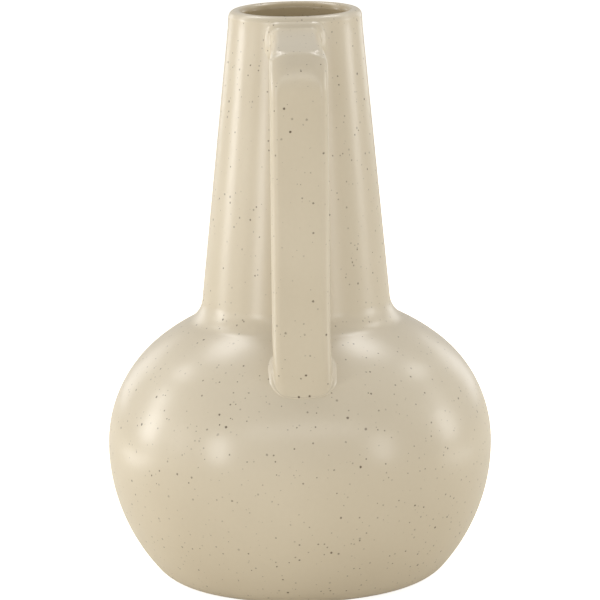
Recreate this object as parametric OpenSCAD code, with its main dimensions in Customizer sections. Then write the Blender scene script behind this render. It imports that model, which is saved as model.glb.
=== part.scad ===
// Stoneware bottle vase: a flattened round body, a tall tapering neck and one flat strap handle.
// The pieces are the ones a potter makes apart and joins while the clay is leather-hard.
// The origin is the centre of the foot on the table, +Z is up and the handle is on the -Y side.

/* [Overall] */
// Height from the table to the lip, mm
vase_h = 300; // [290:1:315]
// Wall thickness of the thrown pieces, mm
wall = 7; // [6:0.5:8]

/* [Body] */
// Radius of the body at its widest line, mm
belly_r = 100; // [97:0.5:104]
// Height of the widest line above the table, mm
belly_z = 72.6; // [71:0.2:75]
// Profile radius of the wall below the widest line, mm
bowl_arc_r = 97; // [94:1:99]
// Angle that the lower profile arc covers, degrees
bowl_arc_deg = 41.25; // [38:0.25:43]
// Profile radius of the turn into the foot, mm
foot_turn_r = 24; // [20:1:27]
// Profile radius of the wall above the widest line, mm
dome_arc_r = 68; // [66:0.5:70]
// Angle that the upper profile arc covers, degrees
dome_arc_deg = 50.4; // [48:0.2:53]
// Profile radius of the flatter shoulder, mm
shoulder_arc_r = 100; // [92:1:110]

/* [Neck] */
// Radius of the neck at its lip, mm
lip_r = 34.5; // [33.5:0.1:35.5]
// Radius of the neck's cone carried down to the shoulder line, mm
neck_foot_r = 49.1; // [48:0.1:50]
// Height of that shoulder line, mm
neck_foot_z = 146; // [145:0.5:147]
// Radius of the straight stretch inside the mouth, mm
mouth_r = 27; // [26.5:0.1:27.5]
// Length of the straight stretch inside the mouth, mm
mouth_len = 12; // [8:1:16]
// Radius of the coil smoothed into the corner between neck and shoulder, mm
coil_fillet_r = 15; // [12:0.5:17]

/* [Handle] */
// Width of the strap, mm
strap_w = 29.4; // [27:0.2:32]
// Thickness of the strap, mm
strap_t = 13; // [11.5:0.5:13.5]
// Rounding of the strap's long edges, mm
strap_edge_r = 4.5; // [3:0.5:5]
// Distance from the axis to the strap's outer face, mm
strap_reach = 86.5; // [85:0.5:88]
// Outer radius of the bend between arm and strap, mm
bend_r = 12; // [11:0.5:13]
// Downward slope of the arm, degrees
arm_slope = 11; // [9:0.5:13]
// Height of the arm's upper face where it meets the neck, mm
arm_z = 295.3; // [292:0.1:296]
// Depth that each end of the handle is let into the wall, mm
tenon = 3; // [2:0.5:4]

/* [Foot] */
// Outer radius of the foot ring, mm
foot_r = 56; // [54:0.5:57]
// Width of the foot ring, mm
foot_w = 9; // [8:0.5:10]
// Height of the hollow under the floor, mm
foot_hollow = 2.4; // [2:0.1:2.6]

/* [Hidden] */
$fn = 128;
glaze_colour = [0.81, 0.77, 0.66];
coil_colour = [0.78, 0.74, 0.62];
clay_colour = [0.62, 0.50, 0.38];
arc_step = 5;            // degrees between the points of a profile arc
big = 400;               // larger than any piece

// Centres of the profile arcs, each tangent to its neighbour
bowl_c = [belly_r - bowl_arc_r, belly_z];
foot_c = bowl_c + (bowl_arc_r - foot_turn_r) * [cos(bowl_arc_deg), -sin(bowl_arc_deg)];
dome_c = [belly_r - dome_arc_r, belly_z];
shoulder_c = dome_c + (dome_arc_r - shoulder_arc_r) * [cos(dome_arc_deg), sin(dome_arc_deg)];
shoulder_end_deg = 68;   // carries the shoulder arc in under the neck
foot_show = foot_c[1] - foot_turn_r;   // height of the bare ring below the body's rounded edge

// The neck's cone
neck_top_r = 33.9;       // the cone's own radius at the lip's height
neck_slope = (neck_foot_r - neck_top_r) / (vase_h - neck_foot_z);
neck_dir = [-neck_slope, 1] / norm([neck_slope, 1]);
neck_out = [neck_dir[1], -neck_dir[0]];
seat_z = 137;            // where the neck stands in the dome
lip_out_r = 3.6;         // rounding of the lip's outer edge
lip_in_r = 3.4;          // rounding of the lip's inner edge
lip_roll = 6;            // height over which the neck thickens to the lip
lap = 4;                 // height of the lap joint at the widest line

// The coil's fillet touches the cone and the shoulder arc
coil_from = [neck_foot_r, neck_foot_z] + coil_fillet_r * neck_out - shoulder_c;
coil_b = coil_from * neck_dir;
coil_s = -coil_b + sqrt(pow(coil_b, 2) - coil_from * coil_from + pow(shoulder_arc_r + coil_fillet_r, 2));
coil_c = shoulder_c + coil_from + coil_s * neck_dir;
coil_low_deg = atan2(shoulder_c[1] - coil_c[1], shoulder_c[0] - coil_c[0]);
coil_high_deg = atan2(-neck_out[1], -neck_out[0]);

// The floor and the foot
floor_r = 49;            // radius of the floor's upper step
plug_r = 43;             // radius of the floor's lower step
floor_step_z = 4.8;
floor_top_z = foot_show + wall;
key_z = 3;               // top of the ring's key
key_r = foot_r - foot_w / 2;
ring_in_r = foot_r - foot_w;

// The handle's joints
collar_grow = 3.2;       // how far a collar spreads round the strap
collar_rise = 4;         // how far the upper collar climbs along the arm
root_rise = 2.4;         // how far the lower collar climbs up the strap
collar_sink = 3;         // how far a collar starts below the surface before it is trimmed
collar_lip = 0.3;        // thickness of a collar at its upper edge
root_z = 119.5;          // height of the shoulder at the strap's middle
root_slope = 50;         // slope of the shoulder from there to the strap's outer face, degrees
arm_root_y = 35;         // distance from the axis to the neck at the arm
band_over = 1.3;         // how far the straight inner bands reach past the strap's rounded edges
bend_lap = 0.5;          // overlap of the bend's turned part with those bands
bend_over = 1;           // how far the turned part runs into each straight part, degrees
bend_inset = 0.02;       // how far it lies inside their faces
web_r = 8;               // radius of the clay smoothed into the bend's inner corner
web_w = 24;              // width of that clay
web_sink = 0.1;          // how far its hollow face would cut into the strap

// Points of an arc about c from angle a to angle b, in about arc_step degree pieces
function arc(c, r, a, b) =
    let (n = max(2, ceil(abs(b - a) / arc_step)))
    [for (i = [0:n]) c + r * [cos(a + (b - a) * i / n), sin(a + (b - a) * i / n)]];

// Radius of the neck's cone at height z
function neck_r(z) = neck_foot_r - neck_slope * (z - neck_foot_z);

// Outline of the round body, drawn inset by t from its outer face, from the foot to under the neck
function body_points(t) = concat(
    [[0, foot_show + t]],
    arc(foot_c, foot_turn_r - t, -90, -bowl_arc_deg),
    arc(bowl_c, bowl_arc_r - t, -bowl_arc_deg, 0),
    arc(dome_c, dome_arc_r - t, 0, dome_arc_deg),
    arc(shoulder_c, shoulder_arc_r - t, dome_arc_deg, shoulder_end_deg),
    [[0, (shoulder_c + (shoulder_arc_r - t) * [0, sin(shoulder_end_deg)])[1]]]
);

// Outline of the neck with its rolled lip, drawn inset by t from its outer face
function neck_points(t) = [
    [0, seat_z],
    [neck_r(seat_z) - t / neck_out[0], seat_z],
    [neck_r(vase_h - lip_out_r - lip_roll) - t / neck_out[0], vase_h - lip_out_r - lip_roll],
    [lip_r - t, vase_h - lip_out_r],
    [lip_r - t, vase_h],
    [0, vase_h]
];

module body_section() {
    difference() {
        polygon(body_points(0));
        polygon(body_points(wall));
    }
}

module floor_section() {
    translate([0, foot_hollow]) square([plug_r, floor_step_z - foot_hollow]);
    translate([0, floor_step_z]) square([floor_r, floor_top_z - floor_step_z]);
}

module foot_section() {
    translate([ring_in_r, 0]) square([key_r - ring_in_r, key_z]);
    translate([ring_in_r, 0]) square([foot_w, foot_show]);
}

// The neck's wall, with a straight mouth and a lip rounded on both edges
module neck_section() {
    mouth_z = vase_h - lip_in_r - mouth_len;
    lip = concat(
        [
            [neck_r(seat_z) - wall / neck_out[0], seat_z],
            [neck_r(seat_z), seat_z],
            [neck_r(vase_h - lip_out_r - lip_roll), vase_h - lip_out_r - lip_roll]
        ],
        arc([lip_r - lip_out_r, vase_h - lip_out_r], lip_out_r, 0, 90),
        arc([mouth_r + lip_in_r, vase_h - lip_in_r], lip_in_r, 90, 180),
        [[mouth_r, mouth_z]]
    );
    polygon(lip);
}

// Everything the neck's foot takes from the dome: its seat and the way through
module neck_seat_section() {
    polygon([
        [0, 0],
        [plug_r, 0],
        [plug_r, seat_z],
        [neck_r(seat_z), seat_z],
        [neck_r(vase_h), vase_h],
        [0, vase_h]
    ]);
}

// Corner of clay between neck and shoulder, with its hollow face
module coil_section() {
    corner = [neck_r(belly_z + dome_arc_r) - wall, belly_z + dome_arc_r - wall];
    difference() {
        polygon(concat([corner], arc(coil_c, coil_fillet_r, coil_low_deg + 360, coil_high_deg + 360)));
        polygon(body_points(0));
        neck_seat_section();
    }
}

// Cross-section of the strap: a rectangle with round corners, grown by g on every side
module strap_section(g = 0) {
    w = strap_w + 2 * g;
    t = strap_t + 2 * g;
    r = strap_edge_r + g;
    square([w - 2 * r, t], center = true);
    square([w, t - 2 * r], center = true);
    for (x = [-1, 1], y = [-1, 1]) {
        translate([x * (w / 2 - r), y * (t / 2 - r)]) circle(r = r);
    }
}

// Places children at the arm's upper face on the neck, with their +Z running out along the arm
module along_arm() {
    translate([0, -arm_root_y, arm_z])
        rotate([90 + arm_slope, 0, 0])
            translate([0, -strap_t / 2, 0])
                children();
}

// Centre of the bend, from the two faces that it joins
bend_y = -(strap_reach - bend_r);
bend_z = arm_z - tan(arm_slope) * (-bend_y - arm_root_y) - bend_r / cos(arm_slope);
arm_len = (-bend_y - arm_root_y) / cos(arm_slope) + bend_r * tan(arm_slope);
bend_in_r = bend_r - strap_t + strap_edge_r + band_over;   // where the turned part of the bend starts

// The web's hollow face, centred on the line that halves the bend's inner corner
web_line = [1 + sin(arm_slope), -cos(arm_slope)] / norm([1 + sin(arm_slope), -cos(arm_slope)]);
web_c = [bend_y, bend_z] + (strap_t - bend_r + web_r - web_sink) / web_line[0] * web_line;
web_len = bend_z - web_c[1];

// The inner band of the strap's section, which runs past the bend's centre to close the corner
module inner_band(side) {
    band = strap_edge_r + band_over + bend_lap;
    intersection() {
        strap_section();
        translate([-strap_w, side > 0 ? strap_t / 2 - band : -strap_t / 2])
            square([2 * strap_w, band]);
    }
}

// Clay smoothed into the bend's inner corner
module web_section() {
    difference() {
        polygon([
            [bend_y, bend_z],
            [bend_y, bend_z - web_len],
            web_c,
            [bend_y, bend_z] + web_len * [cos(arm_slope), sin(arm_slope)]
        ]);
        translate(web_c) circle(r = web_r);
    }
}

// The handle run through both walls, before its ends are cut to their tenons
module handle_blank() {
    along_arm() {
        translate([0, 0, -wall * 2]) linear_extrude(arm_len + wall * 2) strap_section();
        linear_extrude(arm_len + bend_in_r) inner_band(-1);
    }
    translate([0, -strap_reach + strap_t / 2, belly_z]) {
        linear_extrude(bend_z - belly_z) strap_section();
        linear_extrude(bend_z - belly_z + bend_in_r) inner_band(1);
    }
    translate([0, bend_y, bend_z]) rotate([90, 0, -90]) rotate(-bend_over)
        rotate_extrude(angle = 90 - arm_slope + 2 * bend_over)
            intersection() {
                translate([bend_r - strap_t / 2, 0]) rotate(90) strap_section(-bend_inset);
                translate([bend_in_r, -strap_w]) square([bend_r, 2 * strap_w]);
            }
    translate([-web_w / 2, 0, 0]) rotate([90, 0, 90]) linear_extrude(web_w) web_section();
}

// The clay left inside the tenons' depth, used to cut the handle's ends
module tenon_core() {
    rotate_extrude() polygon(body_points(tenon));
    rotate_extrude() polygon(neck_points(tenon));
}

// The handle as it is let into neck and dome
module handle_form() {
    difference() {
        handle_blank();
        tenon_core();
    }
}

// Outer form of body and neck, used to trim the collars
module outer_form() {
    rotate_extrude() polygon(body_points(0));
    rotate_extrude() polygon(neck_points(0));
}

module foot_ring() {
    color(clay_colour) rotate_extrude() foot_section();
}

module base_floor() {
    color(glaze_colour) rotate_extrude() floor_section();
}

// Lower half of the body, open below for the floor and grooved for the ring, with an inner lap above
module lower_bowl() {
    color(glaze_colour) rotate_extrude() difference() {
        intersection() {
            body_section();
            union() {
                square([big, belly_z]);
                square([belly_r - wall / 2, belly_z + lap]);
            }
        }
        floor_section();
        square([plug_r, big]);
        square([key_r, foot_hollow]);
        foot_section();
    }
}

// Upper half of the body, lapped over the bowl and cut for the neck and the strap's foot
module shoulder_dome() {
    color(glaze_colour) difference() {
        rotate_extrude() difference() {
            body_section();
            square([big, belly_z]);
            square([belly_r - wall / 2, belly_z + lap]);
            neck_seat_section();
        }
        handle_form();
    }
}

module neck_cone() {
    color(glaze_colour) difference() {
        rotate_extrude() neck_section();
        handle_form();
    }
}

module neck_joint_coil() {
    color(coil_colour) rotate_extrude() coil_section();
}

module handle_strap() {
    color(glaze_colour) handle_form();
}

// Collar round the arm, spreading on to the neck
module handle_upper_joint() {
    color(coil_colour) difference() {
        along_arm() hull($fn = 32) {
            translate([0, 0, -collar_sink]) linear_extrude(collar_lip) strap_section(collar_grow);
            translate([0, 0, collar_rise]) linear_extrude(collar_lip) strap_section(collar_lip);
        }
        outer_form();
        handle_blank();
    }
}

// Collar round the strap's foot, sheared to lie along the shoulder
module handle_lower_joint() {
    lie = [[1, 0, 0, 0], [0, 1, 0, 0], [0, tan(root_slope), 1, 0]];
    color(coil_colour) difference() {
        translate([0, -strap_reach + strap_t / 2, root_z]) hull($fn = 32) {
            translate([0, 0, -collar_sink])
                multmatrix(lie) linear_extrude(collar_lip) strap_section(collar_grow);
            translate([0, 0, root_rise])
                multmatrix(lie) linear_extrude(collar_lip) strap_section(collar_lip);
        }
        outer_form();
        handle_blank();
    }
}

foot_ring();
base_floor();
lower_bowl();
shoulder_dome();
neck_cone();
neck_joint_coil();
handle_strap();
handle_upper_joint();
handle_lower_joint();
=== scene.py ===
"""Stoneware bottle vase with a strap handle: fine pieces, speckled glaze and a plain studio.

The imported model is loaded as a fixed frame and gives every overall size. Each of its pieces is
replaced by a finer one of the same form. Profiles are worked out in millimetres and the meshes are
made in metres, in the frame's own axes: +Z up, handle on the -Y side.
"""

import logging
import math
from dataclasses import dataclass, field
from enum import Enum

import bpy
import numpy as np
from mathutils import Matrix, Vector


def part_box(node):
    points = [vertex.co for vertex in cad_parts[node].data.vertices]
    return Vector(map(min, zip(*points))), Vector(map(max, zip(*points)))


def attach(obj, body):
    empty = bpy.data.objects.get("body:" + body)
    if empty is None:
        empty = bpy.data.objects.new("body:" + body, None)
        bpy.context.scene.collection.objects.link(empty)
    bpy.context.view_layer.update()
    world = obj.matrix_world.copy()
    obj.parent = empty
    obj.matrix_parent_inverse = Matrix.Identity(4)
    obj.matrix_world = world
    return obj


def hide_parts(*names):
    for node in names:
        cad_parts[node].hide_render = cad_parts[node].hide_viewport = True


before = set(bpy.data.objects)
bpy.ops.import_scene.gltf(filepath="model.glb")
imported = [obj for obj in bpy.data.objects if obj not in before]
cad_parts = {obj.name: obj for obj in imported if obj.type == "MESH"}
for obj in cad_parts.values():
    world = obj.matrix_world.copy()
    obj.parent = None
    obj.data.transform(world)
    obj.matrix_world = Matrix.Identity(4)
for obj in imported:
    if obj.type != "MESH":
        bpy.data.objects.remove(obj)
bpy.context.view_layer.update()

LOG = logging.getLogger("vase")
MM = 0.001
BODY = "root"
UP = np.array([0.0, 0.0, 1.0])
HALVINGS = 40

Pair = tuple[float, float]
Triple = tuple[float, float, float]
Colour = tuple[float, float, float, float]


def grey(value: float) -> Colour:
    """A neutral colour of this linear value."""
    return (value, value, value, 1.0)


def unit(vector: np.ndarray) -> np.ndarray:
    """The vector, or each row of vectors, at length one."""
    length = np.linalg.norm(vector, axis=-1, keepdims=True)
    return vector / np.maximum(length, 1e-12)


def smooth(value: float) -> float:
    """A ramp from 0 to 1 with level ends, for a value clipped to 0 to 1."""
    t = min(max(value, 0.0), 1.0)
    return t * t * (3.0 - 2.0 * t)


def toward(azimuth: float, elevation: float) -> Vector:
    """Unit vector from the vase to a place round it, in degrees from the handle's side."""
    around, up = math.radians(azimuth), math.radians(elevation)
    return Vector((math.sin(around) * math.cos(up), -math.cos(around) * math.cos(up), math.sin(up)))


def faced(away: Vector) -> Matrix:
    """Turn that makes a light or camera out along a direction look back at the vase."""
    return (-away).to_track_quat("-Z", "Y").to_matrix().to_4x4()


# ---------------------------------------------------------------------------------------------
# Sizes
# ---------------------------------------------------------------------------------------------


@dataclass(frozen=True)
class Lean:
    """The slight sideways set of the neck, which was joined a little off the body's axis."""

    step_mm: float = -0.75
    step_from: float = 110.0
    step_to: float = 150.0
    slope: float = 0.014
    slope_from: float = 136.0
    slope_full: float = 156.0

    def shift(self, z: np.ndarray) -> np.ndarray:
        """How far the clay stands off the axis.

        Args:
            z: heights in millimetres.

        Returns:
            The sideways shift at each height.
        """
        t = np.clip((z - self.step_from) / (self.step_to - self.step_from), 0.0, 1.0)
        onset = self.slope_full - self.slope_from
        rise = np.clip(z - self.slope_from, 0.0, None)
        ramp = np.where(rise < onset, rise * rise / (2.0 * onset), rise - onset / 2.0)
        return self.step_mm * t * t * (3.0 - 2.0 * t) + self.slope * ramp

    def points(self, points: np.ndarray) -> np.ndarray:
        """Moves points sideways by the shift at their height.

        Args:
            points: rows of x, y, z in millimetres.

        Returns:
            The leaning points.
        """
        out = points.copy()
        out[:, 0] += self.shift(out[:, 2])
        return out

    def normals(self, normals: np.ndarray, heights: np.ndarray) -> np.ndarray:
        """Turns surface normals the way that the lean turns the surface.

        Args:
            normals: rows of x, y, z.
            heights: the height of each in millimetres.

        Returns:
            The turned normals at length one.
        """
        out = normals.copy()
        out[:, 2] -= (self.shift(heights + 0.5) - self.shift(heights - 0.5)) * out[:, 0]
        return unit(out)


@dataclass(frozen=True)
class VaseSizes:
    """The pot's sizes in millimetres: overall ones from the frame, profile radii as named values."""

    height: float
    belly_r: float
    belly_z: float
    foot_r: float
    foot_in_r: float
    floor_r: float
    floor_top_z: float
    strap_w: float
    strap_reach: float
    wall: float = 7.0
    bowl_arc_r: float = 97.0
    bowl_arc_deg: float = 41.25
    foot_turn_r: float = 24.0
    dome_arc_r: float = 68.0
    dome_arc_deg: float = 50.4
    shoulder_arc_r: float = 100.0
    neck_foot_r: float = 49.1
    neck_foot_z: float = 146.0
    neck_top_r: float = 33.9
    lip_r: float = 34.5
    lip_out_r: float = 3.6
    lip_in_r: float = 3.4
    lip_roll: float = 6.0
    mouth_r: float = 27.0
    mouth_len: float = 12.0
    coil_r: float = 15.0
    seat_z: float = 137.0
    floor_step_z: float = 4.8
    plug_r: float = 43.0
    foot_hollow: float = 2.4
    key_z: float = 3.0
    lap: float = 4.0
    seam_depth: float = 1.0
    ring_w: float = 9.0

    @classmethod
    def from_frame(cls) -> "VaseSizes":
        """Reads the overall sizes from the boxes of the frame's pieces."""
        bowl_low, bowl_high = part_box("lower_bowl")
        dome_low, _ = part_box("shoulder_dome")
        _, neck_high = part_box("neck_cone")
        _, ring_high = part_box("foot_ring")
        _, floor_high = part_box("base_floor")
        strap_low, strap_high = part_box("handle_strap")
        ring_r = ring_high.x / MM
        return cls(
            height=neck_high.z / MM,
            belly_r=(bowl_high.x - bowl_low.x) / 2 / MM,
            belly_z=dome_low.z / MM,
            foot_r=ring_r,
            foot_in_r=ring_r - cls.ring_w,
            floor_r=floor_high.x / MM,
            floor_top_z=floor_high.z / MM,
            strap_w=(strap_high.x - strap_low.x) / MM,
            strap_reach=-strap_low.y / MM,
        )

    @property
    def bowl_c(self) -> Pair:
        """Centre of the arc below the widest line."""
        return (self.belly_r - self.bowl_arc_r, self.belly_z)

    @property
    def foot_c(self) -> Pair:
        """Centre of the turn into the foot."""
        reach = self.bowl_arc_r - self.foot_turn_r
        angle = math.radians(self.bowl_arc_deg)
        return (self.bowl_c[0] + reach * math.cos(angle), self.bowl_c[1] - reach * math.sin(angle))

    @property
    def under_z(self) -> float:
        """Height of the bowl's underside."""
        return self.foot_c[1] - self.foot_turn_r

    @property
    def key_r(self) -> float:
        """Radius of the step in the foot ring's key."""
        return (self.foot_r + self.foot_in_r) / 2

    @property
    def lap_r(self) -> float:
        """Radius of the lap between bowl and dome."""
        return self.belly_r - self.wall / 2

    @property
    def lap_deg(self) -> float:
        """Angle on the dome's inner arc where the lap ends."""
        return math.degrees(math.asin(self.lap / (self.dome_arc_r - self.wall)))

    @property
    def dome_c(self) -> Pair:
        """Centre of the arc above the widest line."""
        return (self.belly_r - self.dome_arc_r, self.belly_z)

    @property
    def shoulder_c(self) -> Pair:
        """Centre of the flatter shoulder arc."""
        reach = self.dome_arc_r - self.shoulder_arc_r
        angle = math.radians(self.dome_arc_deg)
        return (self.dome_c[0] + reach * math.cos(angle), self.dome_c[1] + reach * math.sin(angle))

    @property
    def neck_slope(self) -> float:
        """How much the neck's radius falls for each millimetre of height."""
        return (self.neck_foot_r - self.neck_top_r) / (self.height - self.neck_foot_z)

    @property
    def neck_out(self) -> Pair:
        """Outward normal of the neck's cone."""
        length = math.hypot(1.0, self.neck_slope)
        return (1.0 / length, self.neck_slope / length)

    @property
    def lip_z(self) -> float:
        """Height where the neck starts to thicken to the lip."""
        return self.height - self.lip_out_r - self.lip_roll

    @property
    def coil_c(self) -> Pair:
        """Centre of the hollow curve between neck and shoulder."""
        out = self.neck_out
        up = (-out[1], out[0])
        sx, sz = self.shoulder_c
        fx = self.neck_foot_r + self.coil_r * out[0] - sx
        fz = self.neck_foot_z + self.coil_r * out[1] - sz
        b = fx * up[0] + fz * up[1]
        reach = self.shoulder_arc_r + self.coil_r
        s = -b + math.sqrt(b * b - fx * fx - fz * fz + reach * reach)
        return (sx + fx + s * up[0], sz + fz + s * up[1])

    @property
    def coil_low_deg(self) -> float:
        """Angle on the hollow curve where it meets the shoulder."""
        cx, cz = self.coil_c
        return math.degrees(math.atan2(self.shoulder_c[1] - cz, self.shoulder_c[0] - cx)) + 360.0

    @property
    def coil_high_deg(self) -> float:
        """Angle on the hollow curve where it meets the neck."""
        return math.degrees(math.atan2(-self.neck_out[1], -self.neck_out[0])) + 360.0

    @property
    def shoulder_deg(self) -> float:
        """Angle on the shoulder arc where the hollow curve starts."""
        return self.coil_low_deg - 180.0

    @property
    def seat_corner(self) -> Pair:
        """Outer corner of the neck's seat in the dome, with a little room for the neck."""
        return (self.neck_r(self.seat_z) + 0.2, self.seat_z - 1.2)

    def neck_r(self, z: float) -> float:
        """Radius of the neck's cone at height z."""
        return self.neck_foot_r - self.neck_slope * (z - self.neck_foot_z)

    @staticmethod
    def on_arc(centre: Pair, radius: float, degrees: float) -> Pair:
        """The point of a circle at an angle."""
        angle = math.radians(degrees)
        return (centre[0] + radius * math.cos(angle), centre[1] + radius * math.sin(angle))


# ---------------------------------------------------------------------------------------------
# Profiles and meshes
# ---------------------------------------------------------------------------------------------


@dataclass
class Profile:
    """A closed walk in the r-z plane, with the clay on its left, and the normals of each edge."""

    points: list[Pair] = field(default_factory=list)
    normals: list[tuple[Pair, Pair]] = field(default_factory=list)

    def start(self, r: float, z: float) -> "Profile":
        """Sets the first point."""
        self.points = [(r, z)]
        return self

    def line(self, r: float, z: float, steps: int = 1) -> "Profile":
        """Walks straight to a point.

        Args:
            r: radius of the point.
            z: height of the point.
            steps: how many edges the line is cut into.

        Returns:
            The profile itself.
        """
        r0, z0 = self.points[-1]
        length = math.hypot(r - r0, z - z0)
        normal = ((z - z0) / length, (r0 - r) / length)
        for i in range(1, steps + 1):
            self.points.append((r0 + (r - r0) * i / steps, z0 + (z - z0) * i / steps))
            self.normals.append((normal, normal))
        return self

    def arc(self, centre: Pair, radius: float, start: float, end: float, step: float) -> "Profile":
        """Walks along an arc that begins at the last point.

        Args:
            centre: centre of the arc.
            radius: its radius.
            start: angle at its first point, in degrees.
            end: angle at its last point; a falling angle makes a hollow curve.
            step: largest angle of one edge.

        Returns:
            The profile itself.
        """
        side = 1.0 if end > start else -1.0
        count = max(2, math.ceil(abs(end - start) / step))
        angles = [math.radians(start + (end - start) * i / count) for i in range(count + 1)]
        around = [(math.cos(a), math.sin(a)) for a in angles]
        for (c0, s0), (c1, s1) in zip(around, around[1:]):
            self.points.append((centre[0] + radius * c1, centre[1] + radius * s1))
            self.normals.append(((side * c0, side * s0), (side * c1, side * s1)))
        return self

    def close(self) -> "Profile":
        """Walks straight back to the first point, if the walk hasn't ended on it."""
        r, z = self.points[0]
        if math.hypot(self.points[-1][0] - r, self.points[-1][1] - z) > 1e-9:
            self.line(r, z)
        self.points.pop()
        return self


@dataclass
class Sculpt:
    """Vertices, faces and corner normals of one piece, in millimetres, before it leans."""

    points: list[np.ndarray] = field(default_factory=list)
    faces: list[tuple[int, ...]] = field(default_factory=list)
    normals: list[np.ndarray] = field(default_factory=list)

    def add_face(
        self, corners: tuple[int, ...], normals: tuple[np.ndarray, ...] | None = None
    ) -> None:
        """Adds one face.

        Args:
            corners: vertex numbers, counter-clockwise from outside.
            normals: one normal for each corner, or None for the face's own.
        """
        if normals is None:
            a, b, c = (self.points[i] for i in corners[:3])
            flat = unit(np.cross(b - a, c - a))
            if len(corners) == 4:
                flat = unit(np.cross(c - a, self.points[corners[3]] - b))
            normals = (flat,) * len(corners)
        self.faces.append(corners)
        self.normals.extend(normals)

    def to_object(self, name: str, lean: Lean) -> bpy.types.Object:
        """Makes the Blender object.

        Args:
            name: name of the piece.
            lean: the lean that all pieces share.

        Returns:
            The object, in metres, smooth shaded with its own normals.
        """
        raw = np.array(self.points)
        heights = raw[[i for corners in self.faces for i in corners], 2]
        mesh = bpy.data.meshes.new(name)
        mesh.from_pydata((lean.points(raw) * MM).tolist(), [], self.faces)
        mesh.polygons.foreach_set("use_smooth", [True] * len(mesh.polygons))
        mesh.update()
        mesh.normals_split_custom_set(lean.normals(np.array(self.normals), heights).tolist())
        piece = bpy.data.objects.new(name, mesh)
        bpy.context.scene.collection.objects.link(piece)
        return piece


@dataclass(frozen=True)
class Lathe:
    """Turns profiles about the vase's axis."""

    segments: int = 192

    def rays(self) -> list[np.ndarray]:
        """Level unit vectors round the axis."""
        angles = (2 * math.pi * j / self.segments for j in range(self.segments))
        return [np.array([math.cos(a), math.sin(a), 0.0]) for a in angles]

    def sweep(self, out: Sculpt, points: list[Pair], edges: list[tuple[Pair, Pair]]) -> None:
        """Adds the points of a profile at every ray, and the faces that its edges sweep.

        Args:
            out: the surface.
            points: radius and height of each point.
            edges: normals of each edge at both of its ends; the last edge may lead to the start.
        """
        rays, rows = self.rays(), len(points)
        for ray in rays:
            out.points.extend(r * ray + z * UP for r, z in points)
        for j, ray in enumerate(rays):
            k = (j + 1) % self.segments
            for i, (first, last) in enumerate(edges):
                n = (i + 1) % rows
                corners = (j * rows + i, k * rows + i, k * rows + n, j * rows + n)
                turns = ((first, ray), (first, rays[k]), (last, rays[k]), (last, ray))
                out.add_face(corners, tuple(normal[0] * to + normal[1] * UP for normal, to in turns))

    def turn(self, profile: Profile) -> Sculpt:
        """Revolves a closed profile that stays off the axis, with exact normals."""
        out = Sculpt()
        self.sweep(out, profile.points, profile.normals)
        return out

    def turn_disc(self, profile: Profile) -> Sculpt:
        """Revolves an open profile that starts and ends on the axis.

        Args:
            profile: the section from the lower pole to the upper pole.

        Returns:
            A closed disc-shaped surface with exact normals.
        """
        out = Sculpt()
        rows = len(profile.points) - 2
        self.sweep(out, profile.points[1:-1], profile.normals[1:-1])
        low, high = len(out.points), len(out.points) + 1
        out.points.extend([profile.points[0][1] * UP, profile.points[-1][1] * UP])
        for j in range(self.segments):
            k = (j + 1) % self.segments
            out.add_face((low, k * rows, j * rows), (-UP, -UP, -UP))
            out.add_face((high, j * rows + rows - 1, k * rows + rows - 1), (UP, UP, UP))
        return out


@dataclass(frozen=True)
class Nearest:
    """Distance to the pot's outer face, and the outward direction there."""

    distance: float
    outward: np.ndarray


@dataclass(frozen=True)
class OuterFace:
    """The pot's outer face as lines and arcs in the r-z plane, for fitting the handle to it."""

    sizes: VaseSizes

    def runs(self) -> list[tuple[Pair, float, float, float]]:
        """Arcs of the outline as centre, radius, first and last angle; hollow ones are left out."""
        s = self.sizes
        return [
            (s.dome_c, s.dome_arc_r, 0.0, s.dome_arc_deg),
            (s.shoulder_c, s.shoulder_arc_r, s.dome_arc_deg, s.shoulder_deg),
            ((s.lip_r - s.lip_out_r, s.height - s.lip_out_r), s.lip_out_r, 0.0, 90.0),
        ]

    def lines(self) -> list[tuple[Pair, Pair]]:
        """Straight parts of the outline, from low to high."""
        s = self.sizes
        roll = (s.neck_r(s.lip_z), s.lip_z)
        return [
            ((s.neck_r(s.seat_z), s.seat_z), roll),
            (roll, (s.lip_r, s.height - s.lip_out_r)),
        ]

    def nearest(self, point: np.ndarray) -> Nearest:
        """Finds the closest place of the outer face.

        Args:
            point: x, y, z in millimetres, outside the clay.

        Returns:
            The distance, and the direction from the face to the point.
        """
        r, z = math.hypot(point[0], point[1]), point[2]
        best, foot = math.inf, (0.0, 0.0)
        for centre, radius, first, last in self.runs():
            angle = math.degrees(math.atan2(z - centre[1], r - centre[0]))
            place = self.sizes.on_arc(centre, radius, min(max(angle, first), last))
            gap = math.hypot(r - place[0], z - place[1])
            if gap < best:
                best, foot = gap, place
        for (r0, z0), (r1, z1) in self.lines():
            along = ((r - r0) * (r1 - r0) + (z - z0) * (z1 - z0)) / ((r1 - r0) ** 2 + (z1 - z0) ** 2)
            t = min(max(along, 0.0), 1.0)
            place = (r0 + (r1 - r0) * t, z0 + (z1 - z0) * t)
            gap = math.hypot(r - place[0], z - place[1])
            if gap < best:
                best, foot = gap, place
        out_r, out_z = (r - foot[0]) / best, (z - foot[1]) / best
        return Nearest(best, np.array([out_r * point[0] / r, out_r * point[1] / r, out_z]))


# ---------------------------------------------------------------------------------------------
# Shader node groups and finishes
# ---------------------------------------------------------------------------------------------


class Socket(Enum):
    """Kinds of node group socket."""

    VALUE = "NodeSocketFloat"
    VECTOR = "NodeSocketVector"


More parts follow.
